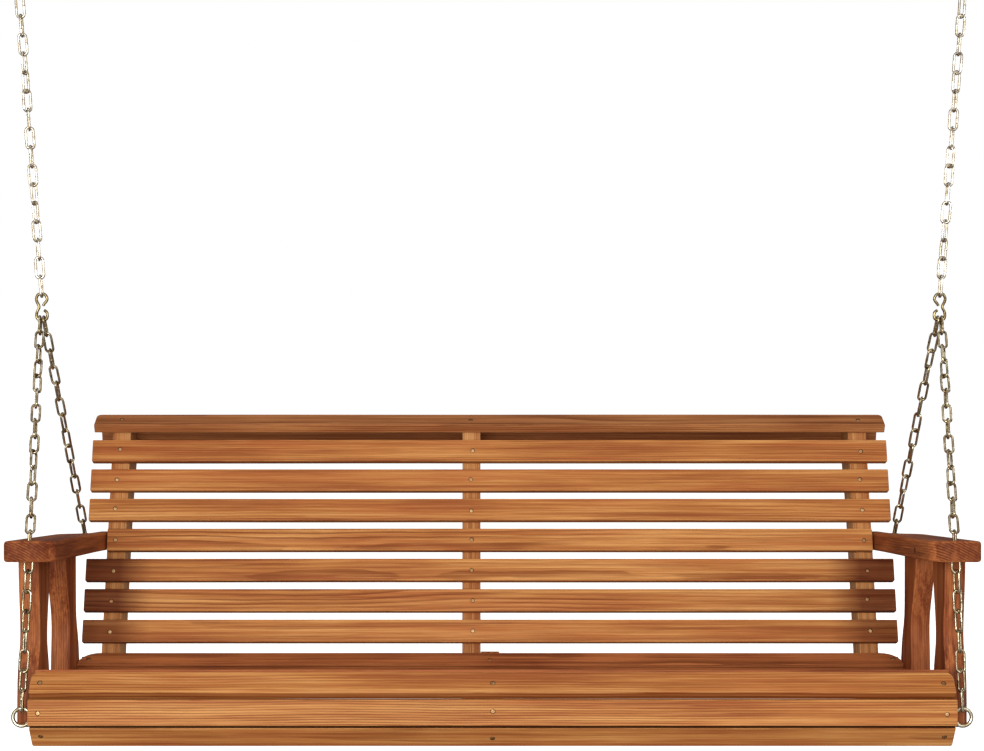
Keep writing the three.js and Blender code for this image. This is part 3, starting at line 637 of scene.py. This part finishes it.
def slat(node, angle, far, near):
    """
    A slat that fills the CAD node's box, measured along its own width and thickness, with its screw holes.
    angle, far and near are as in SLATS.
    """
    a = math.radians(angle)
    along = BENCH_TURN @ Vector((0, math.cos(a), math.sin(a)))
    outward = BENCH_TURN @ Vector((0, -math.sin(a), math.cos(a)))
    corners = [v.co for v in frame["nodes"][node].data.vertices]
    widths = [c.dot(along) for c in corners]
    depths = [c.dot(outward) for c in corners]
    half = max(c.x for c in corners)
    width, thickness = max(widths) - min(widths), max(depths) - min(depths)
    origin = along * min(widths) + outward * max(depths)
    place = Matrix((
        (1, along.x, outward.x, origin.x),
        (0, along.y, outward.y, origin.y),
        (0, along.z, outward.z, origin.z),
        (0, 0, 0, 1)))
    draw = random.Random(node)
    bm = plate(slat_outline(half, width, near, far), thickness)
    bevel_sharp(bm, BEVEL)
    for k in range(1, SLAT_STATIONS):
        bmesh.ops.bisect_plane(
            bm, geom=bm.verts[:] + bm.edges[:] + bm.faces[:],
            plane_co=(half * (2 * k / SLAT_STATIONS - 1), 0, 0), plane_no=(1, 0, 0))
    bow(bm, draw)
    made = mesh_object(node + "_shown", bm)
    cutters = bmesh.new()
    family = node.rsplit("_", 1)[0]
    holes = []
    for x in BACK_SCREWS if family in ("back_slat", "crest_slat") else SEAT_SCREWS:
        stray = [draw.uniform(-SCREW_STRAY, SCREW_STRAY) for _ in range(2)]
        spot = Matrix.Translation((x + stray[0], width / 2 + stray[1], 0))
        drill(cutters, spot, SCREW_HOLE, 2 * SCREW_DEPTH)
        holes.append(place @ spot @ Matrix.Rotation(draw.uniform(0, math.pi), 4, "Z"))
    screw_places.setdefault(family, []).extend(holes)
    cut(made, cutters)
    made.data.transform(place)
    mark_board(made, place, (2 * half, width, thickness), holes)
    material, slot = SLAT_LOOKS[family]
    finish_piece(made, material, "bench", [node])


for node, (angle, far, near) in SLATS.items():
    slat(node, angle, far, near)


def shaped_board(node, material, grain_angle, width_axis, holes=(), rounding=BEVEL):
    """
    A sawn board with the CAD node's own outline, its edges rounded. The grain runs in the bench's YZ plane
    at grain_angle degrees from the depth direction, and width_axis is "x" for a board lying flat, "yz" for
    one on edge. holes are frames whose origin lies on the surface and whose z points out of the wood.
    """
    bm = bmesh.new()
    bm.from_mesh(frame["nodes"][node].data)
    bmesh.ops.remove_doubles(bm, verts=bm.verts, dist=0.01 * MM)
    bmesh.ops.dissolve_limit(bm, angle_limit=math.radians(1), verts=bm.verts, edges=bm.edges)
    # a face with bolt holes in it has to be in triangles before its outline moves
    many_sided = [f for f in bm.faces if len(f.verts) > 4]
    bmesh.ops.triangulate(bm, faces=many_sided, quad_method="BEAUTY", ngon_method="BEAUTY")
    bevel_sharp(bm, rounding, clamp=rounding == BEVEL)
    made = mesh_object(node + "_shown", bm)
    if holes:
        cutters = bmesh.new()
        for hole in holes:
            drill(cutters, hole, SCREW_HOLE, 2 * SCREW_DEPTH)
        cut(made, cutters)
    low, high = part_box(node)
    a = math.radians(grain_angle)
    along = BENCH_TURN @ Vector((0, math.cos(a), math.sin(a)))
    normal = BENCH_TURN @ Vector((0, -math.sin(a), math.cos(a)))
    through = WORLD_X if width_axis == "yz" else normal
    across = through.cross(along)
    middle = (low + high) / 2
    place = Matrix((
        (along.x, across.x, through.x, middle.x),
        (along.y, across.y, through.y, middle.y),
        (along.z, across.z, through.z, middle.z),
        (0, 0, 0, 1)))
    mark_board(made, place, (high - low)[:], holes)
    finish_piece(made, material, "bench", [node])


LEVEL, UPRIGHT = 0, 90  # directions of the grain
ARM_ROUNDING = 5.5 * MM
# The screws in the arms and posts, in millimetres of the bench's frame.
ARM_TOP = 371
ARM_SCREW_DEPTHS = (128, 157, 365, 396)
POST_X, POST_HALF = 857.3, 19
POST_DEPTHS = {"front_post": 131, "rear_post": 410}
POST_SCREWS = ((-18, 62), (18, 92))  # back from the post's middle, and up from the underside
for end in ("left", "centre", "right"):
    shaped_board(f"seat_support_{end}", RED_PINE, LEVEL, "yz")
    shaped_board(f"back_support_{end}", TAN_PINE, BACK_ANGLE, "yz")
for side, sign in SIDES.items():
    arm_screws = []
    for y in ARM_SCREW_DEPTHS:
        spot = bench_point(sign * POST_X, y, ARM_TOP)
        arm_screws.append(Matrix.Translation(spot) @ BENCH_TURN.to_4x4())
    screw_places.setdefault("arm", []).extend(arm_screws)
    shaped_board(f"arm_{side}", RED_PINE, LEVEL, "x", arm_screws, ARM_ROUNDING)
    outside = sign * (POST_X + POST_HALF)
    facing = BENCH_TURN.to_4x4() @ Matrix.Rotation(sign * math.pi / 2, 4, "Y")
    for post, depth in POST_DEPTHS.items():
        post_screws = []
        for y, z in POST_SCREWS:
            post_screws.append(Matrix.Translation(bench_point(outside, depth + y, z)) @ facing)
        screw_places.setdefault("post", []).extend(post_screws)
        shaped_board(f"{post}_{side}", RED_PINE, UPRIGHT, "yz", post_screws)


# ------------------------ screws
HEAD_PROFILE = ((1.9, -3.1), (3.5, -1.0), (3.6, -0.6), (3.4, -0.3), (2.4, -0.15))  # radius and height, mm
RECESS = ((0.8, 3.4), (3.4, 0.8))  # the two slots' sizes across the head, mm
RECESS_DEPTH, RECESS_MIDDLE = 1.2 * MM, -0.4 * MM


def screw_head():
    """A flat countersunk head with a cross recess, its rim just under the wood's surface."""
    bm = bmesh.new()
    cap(bm, turned(bm, Matrix.Identity(4), [(r * MM, h * MM) for r, h in HEAD_PROFILE]))
    made = mesh_object("screw_head", bm)
    for width, length in RECESS:
        slot = bmesh.new()
        size = Matrix.Diagonal((width * MM, length * MM, RECESS_DEPTH, 1))
        bmesh.ops.create_cube(slot, matrix=Matrix.Translation((0, 0, RECESS_MIDDLE)) @ size)
        cut(made, slot)
    mesh = made.data
    bpy.data.objects.remove(made)
    return mesh


HEAD = screw_head()
for family, places in screw_places.items():
    bm = bmesh.new()
    for place in places:
        start = len(bm.verts)
        bm.from_mesh(HEAD)
        bm.verts.ensure_lookup_table()
        bmesh.ops.transform(bm, matrix=place, verts=bm.verts[start:])
    finish_piece(mesh_object(f"{family}_screws", bm), SCREW_ZINC, "bench")

# ------------------------ chains
WIRE = 5 * MM
LINK_WIDTH = 20 * MM
HOOK_WIRE = 5.8 * MM
EYE_WIRE = 7 * MM
EYE_RADIUS = 16 * MM
PLAY = 0.2 * MM  # between a link and what it hangs on
LINK_SIDES, WIRE_SIDES = 12, 16  # sides of a link's wire and of the thicker wires
WELD_SWELL, WELD_LENGTH = 0.14, 2 * MM  # how much thicker the wire is at a link's weld, and over what length
LINK_LEAN = 1.2  # degrees that a link may lean in its place

# Middles of the eyes, in millimetres of the bench's frame, on the right-hand side.
FRONT_EYE = (858.5, 47, 48)
REAR_EYE = (848.5, 585, 352)
BEND = (842, 42, 386)  # the front chain turns down into the arm's hole here
HANG_OFFSET = 3.6  # from a junction's middle to each of the two chains on its lower wire

# How far each link has turned, in degrees, beyond the quarter turn from one link to the next.
TWISTS = {
    "upper_chain_left": (0, 0, 0, 5, 15, 38, 52, 72, 85, 90, 95, 115, 132, 143, 155, 175, 180),
    "upper_chain_right": (35, 62, 82, 92, 124, 154, 174, 183, 206, 230, 258, 270, 286, 311, 332, 344, 358),
    "front_chain_upper_left": (0, 2, 10, 22, 44, 70, 85, 90, 95, 115, 136, 165, 175, 180),
    "front_chain_upper_right": (0, 8, 32, 58, 82, 90, 92, 92, 98, 128, 148, 168, 176, 180),
    "front_chain_lower_left": (0, 8, 25, 14, 30, 62, 88, 122, 158),
    "front_chain_lower_right": (0, -6, -22, -12, -30, -62, -88, -120, -158),
    "rear_chain_left": (0, 0, 2, 5, 5, 8, 12, 24, 40, 52, 66, 80, 88, 90),
    "rear_chain_right": (0, 28, 58, 84, 92, 115, 138, 165, 178, 205, 236, 262, 270, 270),
}


def link_points(pitch):
    """A link's centre line in its own XY plane, its length along Y, and the wire's radius at each point."""
    bend = (LINK_WIDTH - WIRE) / 2
    straight = pitch / 2 + WIRE / 2 - bend
    arc = [math.pi * k / 10 for k in range(11)]
    points = [(bend * math.cos(a), straight + bend * math.sin(a)) for a in arc]
    points += [(-bend, 0.4 * straight), (-bend, -0.4 * straight)]
    points += [(-bend * math.cos(a), -straight - bend * math.sin(a)) for a in arc]
    radii = [WIRE / 2] * len(points)
    for k in (-3, -2, -1, 0, 1, 2, 3):
        y = k * 1.3 * MM
        points.append((bend, y))
        radii.append(WIRE / 2 * (1 + WELD_SWELL * math.exp(-((y / WELD_LENGTH) ** 2))))
    return points, radii


def strand(bm, top, bottom, top_wire, bottom_wire, twists, draw):
    """Links from top to bottom, each turned from the one before by a quarter turn and its own twist."""
    down = bottom - top
    pitch = (down.length + top_wire + bottom_wire + 2 * PLAY) / len(twists)
    down.normalize()
    swing = Vector((0, 0, -1)).rotation_difference(down)
    points, radii = link_points(pitch)
    for i, extra in enumerate(twists):
        turn = Quaternion((0, 0, -1), math.radians(90 * i + extra))
        tip = Quaternion((1, 0, 0), math.radians(draw.uniform(-LINK_LEAN, LINK_LEAN)))
        facing = swing @ turn @ tip
        centre = top + down * (pitch * (i + 0.5) - top_wire - PLAY)
        flip = draw.choice((-1, 1))
        line = [centre + facing @ Vector((0, flip * x, y)) for x, y in points]
        tube(bm, line, facing @ WORLD_X, radii, LINK_SIDES, closed=True)


def side_point(sign, x, y, z):
    """bench_point for the side with the given sign, x counted outwards."""
    return bench_point(sign * x, y, z)


LOWER_WIRE_Z = HINGES["bench_tilt"].z
HOOK_RISE = 50.2 * MM  # between the centres of a junction's two wires
UPPER_HINGE_Z = HINGES["swing"].z
# The direction, in the bench's frame, in which the rear chain pulls its eye.
REAR_PULL = Vector((0, HANG_Y - REAR_EYE[1] * MM, HANG_Z - REAR_EYE[2] * MM)).normalized()
for side, sign in SIDES.items():
    hanger_low, hanger_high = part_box(f"ceiling_hanger_{side}")
    hanger_x = (hanger_low.x + hanger_high.x) / 2
    rear_ring = REAR_PULL * EYE_RADIUS / MM
    runs = {
        "upper_chain": (
            Vector((hanger_x, 0, UPPER_HINGE_Z)), Vector((sign * HANG_X, 0, LOWER_WIRE_Z + HOOK_RISE)),
            EYE_WIRE / 2, HOOK_WIRE / 2, PALE_ZINC, "upper_chains"),
        "front_chain_upper": (
            side_point(sign, HANG_X / MM + HANG_OFFSET, HANG_Y / MM, HANG_Z / MM), side_point(sign, *BEND),
            HOOK_WIRE / 2, 0, YELLOW_ZINC, "bench"),
        "front_chain_lower": (
            side_point(sign, *BEND),
            side_point(sign, FRONT_EYE[0], FRONT_EYE[1], FRONT_EYE[2] + EYE_RADIUS / MM),
            0, EYE_WIRE / 2, YELLOW_ZINC, "bench"),
        "rear_chain": (
            side_point(sign, HANG_X / MM - HANG_OFFSET, HANG_Y / MM, HANG_Z / MM),
            side_point(sign, REAR_EYE[0], REAR_EYE[1] + rear_ring.y, REAR_EYE[2] + rear_ring.z),
            HOOK_WIRE / 2, EYE_WIRE / 2, YELLOW_ZINC, "bench"),
    }
    # each run has its two ends, half of the wire that holds it at each, its metal and its body
    for name, (top, bottom, top_wire, bottom_wire, material, body) in runs.items():
        node = f"{name}_{side}"
        bm = bmesh.new()
        strand(bm, top, bottom, top_wire, bottom_wire, TWISTS[node], random.Random(node))
        show(node, bm, material, body)


# ------------------------ chain junctions
def catmull_rom(points, steps):
    """Points on the smooth curve through the given points."""
    ends = [2 * points[0] - points[1]] + points + [2 * points[-1] - points[-2]]
    line = []
    for i in range(1, len(ends) - 2):
        a, b, c, d = ends[i - 1:i + 3]
        for k in range(steps):
            t = k / steps
            square, cube = 2 * a - 5 * b + 4 * c - d, 3 * b - a - 3 * c + d
            line.append(0.5 * (2 * b + (c - a) * t + square * t**2 + cube * t**3))
    return line + [points[-1]]


HOOK_HALF = 10.6 * MM
# The wire's middle line, outwards in halves of the junction's width and up in its rise.
HOOK_LINE = (
    (-0.23, 0.53), (-0.40, 0.60), (-0.86, 0.72), (-1, 0.83), (-0.62, 0.975), (0, 1), (0.62, 0.975),
    (1, 0.83), (0.86, 0.68), (0.5, 0.5), (0.86, 0.32), (1, 0.2), (0.93, 0.07), (0.6, 0), (-0.6, 0),
    (-0.93, 0.07), (-1, 0.2), (-0.86, 0.29), (-0.40, 0.37),
)


def junction(side, sign):
    """A figure of eight bent from thick wire, open at its waist on the inner side."""
    points = [
        Vector((sign * (HANG_X + HOOK_HALF * x), 0, LOWER_WIRE_Z + HOOK_RISE * z)) for x, z in HOOK_LINE]
    line = catmull_rom(points, 4)
    bm = bmesh.new()
    tube(bm, line, WORLD_Y, [HOOK_WIRE / 2] * len(line), WIRE_SIDES)
    show(f"chain_junction_{side}", bm, DARK_ZINC, "upper_chains")


# ------------------------ bolts and nuts
NUT_CORNER = 7.5 * MM
CHAMFER = 0.8 * MM
WASHER_RADIUS, WASHER_EDGE, WASHER_HEIGHT = 11 * MM, 0.25 * MM, 1.6 * MM
NUT_TOP = 8 * MM  # above the wood, with its washer
CLEAR = 0.5 * MM  # between the wood and a washer or a bolt's head
SHANK_START = 14 * MM  # from the ring of an eye bolt to its straight shank
NUT_INSIDE = 12.5 * MM  # from the wood to the end of an eye bolt


def frame_along(origin, axis):
    """A frame at origin whose z runs along axis."""
    turn = WORLD_Z.rotation_difference(axis).to_matrix().to_4x4()
    return Matrix.Translation(origin) @ turn


def thread(start, end, radius, pitch=1.25 * MM):
    """Profile of a threaded length from start to end."""
    profile = []
    steps = int((end - start) / pitch)
    for k in range(steps):
        low = start + pitch * k
        profile += [(radius, low), (radius, low + 0.25 * pitch), (0.86 * radius, low + 0.6 * pitch)]
    return profile + [(radius, start + pitch * steps), (0.8 * radius, end)]


def bored(bm, place, radius, inner, edge, bore, low, high, sides, flats=0):
    """A bored disc whose faces reach out to inner and whose side is edge lower at each rim, at radius."""
    rings = turned(
        bm, place,
        [(bore, low), (inner, low), (radius, low + edge), (radius, high - edge), (inner, high), (bore, high)],
        sides, flats)
    skin(bm, [rings[-1], rings[0]])


def hexagon(bm, place, bore, low, high):
    """A hexagon nut with chamfered corners, bored through."""
    bored(bm, place, NUT_CORNER, 0.9 * NUT_CORNER, CHAMFER, bore, low, high, 36, 6)


def eye_bolt(node, centre, inward, lift, tail):
    """
    A bent eye on a bolt. centre is the ring's middle, inward the shank's direction, lift the direction in the
    ring's plane across the shank, and tail the distance from the ring's middle to the shank's end.
    """
    bm = bmesh.new()
    radius = EYE_WIRE / 2
    gap = math.radians(24)
    turns = [gap + (2 * math.pi - 2.2 * gap) * k / 28 for k in range(29)]
    ring = [centre + EYE_RADIUS * (math.cos(a) * inward + math.sin(a) * lift) for a in turns]
    neck = [
        centre + (EYE_RADIUS + along * MM) * inward + rise * MM * lift
        for along, rise in ((16, 0), (11, 0), (5.5, 0.8))]
    line = catmull_rom(neck + ring, 2)
    tube(bm, line, inward.cross(lift), [radius] * len(line), WIRE_SIDES)
    place = frame_along(centre + (EYE_RADIUS + SHANK_START) * inward, inward)
    length = tail - EYE_RADIUS - SHANK_START
    shank = [(radius, 0), (radius, length - 26 * MM)] + thread(length - 25 * MM, length, radius)
    cap(bm, turned(bm, place, shank, 20))
    show(node, bm, BRIGHT_ZINC, "bench")


def nut_and_washer(node, place):
    """A nut on its washer, the washer against the wood. place has its z away from the wood."""
    bm = bmesh.new()
    inner = WASHER_RADIUS - WASHER_EDGE
    bored(bm, place, WASHER_RADIUS, inner, WASHER_EDGE, 3.9 * MM, 0, WASHER_HEIGHT, 32)
    hexagon(bm, place, 3.6 * MM, WASHER_HEIGHT, NUT_TOP)
    show(node, bm, BRIGHT_ZINC, "bench")


LAP_BOLT = (519, 60)  # y and z, in millimetres of the bench's frame
LAP_RADIUS = 4 * MM
DOME = (9, 5)  # the head's radius and height, mm
LAP_NUT = 6 * MM
LAP_TIP = 7 * MM  # from the start of the nut to the end of the bolt


def lap_bolt(node, head_x, nut_x):
    """A carriage bolt from its domed head at head_x to its nut, which starts at nut_x."""
    direction = math.copysign(1, nut_x - head_x)
    place = frame_along(bench_point(head_x / MM, *LAP_BOLT), direction * WORLD_X)
    bm = bmesh.new()
    steps = [math.pi / 2 * k / 7 for k in range(6, -1, -1)]
    cap(bm, turned(bm, place, [(DOME[0] * math.cos(a) * MM, -DOME[1] * math.sin(a) * MM) for a in steps], 32))
    near = abs(nut_x - head_x)
    length = near + LAP_TIP
    stem = [(LAP_RADIUS, 0), (LAP_RADIUS, near - 2 * MM)] + thread(near - 1 * MM, length, LAP_RADIUS)
    cap(bm, turned(bm, place, stem, 20))
    hexagon(bm, place, LAP_RADIUS, near, near + LAP_NUT)
    show(node, bm, BRIGHT_ZINC, "bench")


SUPPORT_HALF = 19 * MM
for side, sign in SIDES.items():
    junction(side, sign)
    inward = Vector((-sign, 0, 0))
    seat_face = SUPPORT_X - SUPPORT_HALF
    back_face = BACK_SUPPORT_X - SUPPORT_HALF
    eyes = (("front", FRONT_EYE, WORLD_Z, seat_face), ("rear", REAR_EYE, REAR_PULL, back_face))
    for kind, eye, lift, face in eyes:
        tail = eye[0] * MM - face + NUT_INSIDE
        eye_bolt(f"{kind}_eye_bolt_{side}", side_point(sign, *eye), inward, BENCH_TURN @ lift, tail)
    for kind, eye, _, face in eyes:
        spot = side_point(sign, (face - CLEAR) / MM, eye[1], eye[2])
        nut_and_washer(f"{kind}_eye_nut_{side}", frame_along(spot, inward))
    head = SUPPORT_X + SUPPORT_HALF + CLEAR
    lap_bolt(f"lap_bolt_{side}", sign * head, sign * (back_face - CLEAR))
lap_bolt("lap_bolt_centre", SUPPORT_HALF + CLEAR, BACK_CENTRE_X - SUPPORT_HALF - CLEAR)

# ------------------------ ceiling hangers
PLATE = (110 * MM, 38 * MM, 6 * MM)
PLATE_CORNER = 8
LAG_OFFSET = 41 * MM  # from the plate's middle to each screw
LAG_RADIUS = 4 * MM
LAG_SMOOTH, LAG_POINT, LAG_PITCH = 14 * MM, 10 * MM, 2.6 * MM  # smooth shank, point and thread
UNDER_PLATE = -PLATE[2]


def hanger(side):
    """A steel plate with rounded corners and two screw holes, and a round eye welded under it."""
    node = f"ceiling_hanger_{side}"
    low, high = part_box(node)
    x = (low.x + high.x) / 2
    outline = slat_outline(PLATE[0] / 2, PLATE[1], PLATE_CORNER, PLATE_CORNER)
    bm = plate([p + Vector((x, -PLATE[1] / 2, 0)) for p in outline], PLATE[2])
    bevel_sharp(bm, CHAMFER)
    made = mesh_object(node + "_shown", bm)
    cutters = bmesh.new()
    for end in (-1, 1):
        spot = Matrix.Translation((x + end * LAG_OFFSET, 0, 0))
        drill(cutters, spot, LAG_RADIUS + 0.6 * MM, 5 * PLATE[2], 28)
    cut(made, cutters)
    bm = bmesh.new()
    bm.from_mesh(made.data)
    centre = Vector((x, 0, UPPER_HINGE_Z + EYE_RADIUS))
    turns = [2 * math.pi * k / 40 for k in range(40)]
    ring = [centre + EYE_RADIUS * Vector((math.sin(a), 0, math.cos(a))) for a in turns]
    tube(bm, ring, WORLD_Y, [EYE_WIRE / 2] * len(ring), WIRE_SIDES, closed=True)
    foot = centre.z + EYE_RADIUS + EYE_WIRE / 2
    neck = [
        (4.5 * MM, foot - 5 * MM), (7 * MM, foot - 2 * MM), (6.4 * MM, foot),
        (6.6 * MM, UNDER_PLATE - 3 * MM), (7.6 * MM, UNDER_PLATE - 1.2 * MM),
        (9.4 * MM, UNDER_PLATE + 0.3 * MM)]
    cap(bm, turned(bm, Matrix.Translation((x, 0, 0)), neck, 28))
    bm.to_mesh(made.data)
    bm.free()
    finish_piece(made, BRIGHT_ZINC, "ceiling", [node])


def lag_screw(node):
    """A hexagon-headed wood screw with a flange, its threads up in the joist."""
    low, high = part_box(node)
    place = Matrix.Translation(((low.x + high.x) / 2, 0, 0))
    under = UNDER_PLATE - 0.3 * MM
    head = [(6.4 * MM, low.z), (7.3 * MM, low.z + CHAMFER), (7.3 * MM, under - 1.4 * MM)]
    flange = [(7.0 * MM, under - 1.5 * MM), (7.5 * MM, under - 0.7 * MM), (7.5 * MM, under)]
    shank = [(LAG_RADIUS, under), (LAG_RADIUS, LAG_SMOOTH)]
    shank += thread(LAG_SMOOTH + 0.5 * MM, high.z - LAG_POINT, LAG_RADIUS, LAG_PITCH) + [(0.3 * MM, high.z)]
    bm = bmesh.new()
    for profile, sides, flats in ((head, 36, 6), (flange, 36, 0), (shank, 20, 0)):
        cap(bm, turned(bm, place, profile, sides, flats))
    show(node, bm, BRIGHT_ZINC, "ceiling")


for side in SIDES:
    hanger(side)
    for end in ("inner", "outer"):
        lag_screw(f"lag_screw_{side}_{end}")

# ------------------------ floor and light
FLOOR_Z = -1.80  # the seat hangs about 0.45 m above the floor
FLOOR_RADIUS = 60
FLOOR_GLOW = 0.80  # makes the floor as white as the background


def floor_material():
    """Off-white with faint clouds in it."""
    material, tree, shader = new_material("pale_floor")
    place = tree.nodes.new("ShaderNodeTexCoord").outputs["Object"]
    colour = blend_colour(tree, noise_of(tree, place, (3, 3, 3), 3), srgb(247, 247, 247), srgb(243, 243, 242))
    plug(tree, shader.inputs["Base Color"], colour)
    shader.inputs["Roughness"].default_value = 0.9
    shader.inputs["Specular IOR Level"].default_value = 0.1
    shader.inputs["Emission Color"].default_value = (1, 1, 1, 1)
    shader.inputs["Emission Strength"].default_value = FLOOR_GLOW
    return material


bm = bmesh.new()
bmesh.ops.create_circle(
    bm, cap_ends=True, segments=96, radius=FLOOR_RADIUS, matrix=Matrix.Translation((0, 0, FLOOR_Z)))
floor = mesh_object("floor", bm)
floor.data.materials.append(floor_material())
floor.visible_diffuse = False
floor.visible_glossy = False

SEAT = Vector((0, 0.1, -1.2))
LIGHTS = (  # name, place, size and power in watts; each is aimed at the seat
    ("key", (-0.9, -5.4, -0.3), (3.4, 2.0), 188),
    ("fill", (3.0, -4.4, 0.4), (2.0, 2.0), 38),
    ("top", (0, -0.6, 3.2), (4.0, 2.0), 34),
    ("rear_left", (-3.8, 3.2, -0.2), (1.6, 1.8), 50),
    ("rear_right", (3.8, 3.2, -0.2), (1.6, 1.8), 50),
)
for name, place, size, power in LIGHTS:
    light = bpy.data.lights.new(name, "AREA")
    light.shape = "RECTANGLE"
    light.size, light.size_y = size
    light.energy = power
    made = bpy.data.objects.new(name, light)
    made.location = place
    made.rotation_euler = (SEAT - Vector(place)).to_track_quat("-Z", "Y").to_euler()
    scene.collection.objects.link(made)

# The studio: white where the camera looks past the swing; what lights it is brightest in front and dark at
# the sides, so that the metal's rims come out dark.
world = bpy.data.worlds.new("studio")
world.use_nodes = True
scene.world = world
tree = world.node_tree
sky = tree.nodes["Background"]
direction = tree.nodes.new("ShaderNodeSeparateXYZ")
plug(tree, direction.inputs[0], tree.nodes.new("ShaderNodeTexCoord").outputs["Generated"])
front = ramp(tree, direction.outputs["Y"], 0.1, -0.9, 0.0, 0.44)
above = ramp(tree, direction.outputs["Z"], -1.0, 1.0, 0.09, 0.18)
seen = tree.nodes.new("ShaderNodeLightPath").outputs["Is Camera Ray"]
plug(tree, sky.inputs["Strength"], maths(tree, "MAXIMUM", maths(tree, "ADD", front, above), seen))
sky.inputs["Color"].default_value = (1, 1, 1, 1)
scene.view_settings.view_transform = "Standard"
